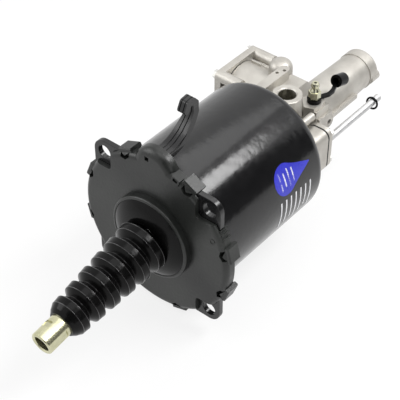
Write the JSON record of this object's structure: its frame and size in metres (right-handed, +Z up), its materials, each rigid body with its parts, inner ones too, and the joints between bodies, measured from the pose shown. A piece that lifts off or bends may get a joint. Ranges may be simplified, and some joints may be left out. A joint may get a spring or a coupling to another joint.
{
  "type": "clutch actuator",
  "caption": "Air-assisted hydraulic clutch actuator: black air cylinder on an eared plate, drooped push rod in a bellows, cast valve and cylinder head behind.",
  "frame": {"origin": "centre of the four-hole mounting pattern, on the ears' front face and the barrel's axis", "axes": "+X the way the rod pushes, +Z up through the bleed screw and air port, +Y away from the valve"},
  "size_m": [0.4439, 0.1594, 0.1973],
  "materials": {
    "black_barrel": "gloss",
    "black_plate": "satin",
    "dark_plastic": "matt moulded",
    "black_rubber": "satin",
    "cast_aluminium": "satin, shot-blasted",
    "turned_aluminium": "turned",
    "yellow_zinc": "bright yellow zinc plating",
    "zinc_steel": "zinc plated",
    "bright_steel": "ground",
    "spring_steel": "oiled",
    "bearing_bronze": "turned",
    "liner_plastic": "natural",
    "gasket": "matt"
  },
  "bodies": {
    "housing": {"barrel": "black_barrel", "mounting_flange": "black_plate", "front_cover": "dark_plastic", "breather_tube": "dark_plastic", "head_casting": "cast_aluminium", "head_screws": "zinc_steel", "side_cover": "cast_aluminium", "side_cover_gasket": "gasket", "side_cover_screws": "zinc_steel", "valve_cover": "cast_aluminium", "valve_gasket": "gasket", "valve_cover_bolts": "zinc_steel", "cylinder_end_cap": "cast_aluminium", "guide_bush": "bearing_bronze", "bush_retaining_ring": "spring_steel", "preload_spring": "spring_steel", "relay_valve_spring": "spring_steel", "inlet_valve": "black_rubber", "bleed_cap": "black_rubber"},
    "piston": {"booster_piston": "turned_aluminium", "piston_seal": "black_rubber", "piston_guide_band": "liner_plastic", "plunger": "bright_steel", "plunger_seal": "black_rubber", "liner_retaining_ring": "spring_steel"},
    "ball_liner": {"ball_liner": "liner_plastic"},
    "push_rod": {"push_rod": "zinc_steel", "rod_end": "yellow_zinc", "bellows": "black_rubber"},
    "wear_pin": {"wear_indicator_pin": "bright_steel", "pin_ring": "black_rubber"},
    "bleed_screw": {"bleed_screw": "zinc_steel"},
    "relay_piston": {"relay_valve_piston": "turned_aluminium"}
  },
  "joints": [
    {"name": "piston_slide", "type": "slide", "parent": "housing", "child": "piston", "axis": [1, 0, 0], "range_m": [-0.07, 0], "stiffness_N_per_m": 1500, "springref_m": 0.05, "deforming": ["preload_spring", "bellows"]},
    {"name": "liner_swing", "type": "hinge", "parent": "piston", "child": "ball_liner", "pos_m": [0.002, 0, 0], "axis": [0, 0, 1], "range_deg": [-6, 6]},
    {"name": "rod_tilt", "type": "hinge", "parent": "ball_liner", "child": "push_rod", "pos_m": [0.002, 0, 0], "axis": [0, 1, 0], "range_deg": [-15.5, 1]},
    {"name": "wear_pin_slide", "type": "slide", "parent": "housing", "child": "wear_pin", "axis": [1, 0, 0], "range_m": [-0.03, 0.018]},
    {"name": "bleed_screw_turn", "type": "hinge", "parent": "housing", "child": "bleed_screw", "pos_m": [-0.192, 0.02, 0.032], "axis": [0, 0, 1], "range_deg": [0, 270]},
    {"name": "relay_slide", "type": "slide", "parent": "housing", "child": "relay_piston", "axis": [0, 1, 0], "range_m": [0, 0.004], "stiffness_N_per_m": 800, "springref_m": -0.004, "deforming": ["relay_valve_spring"]}
  ]
}
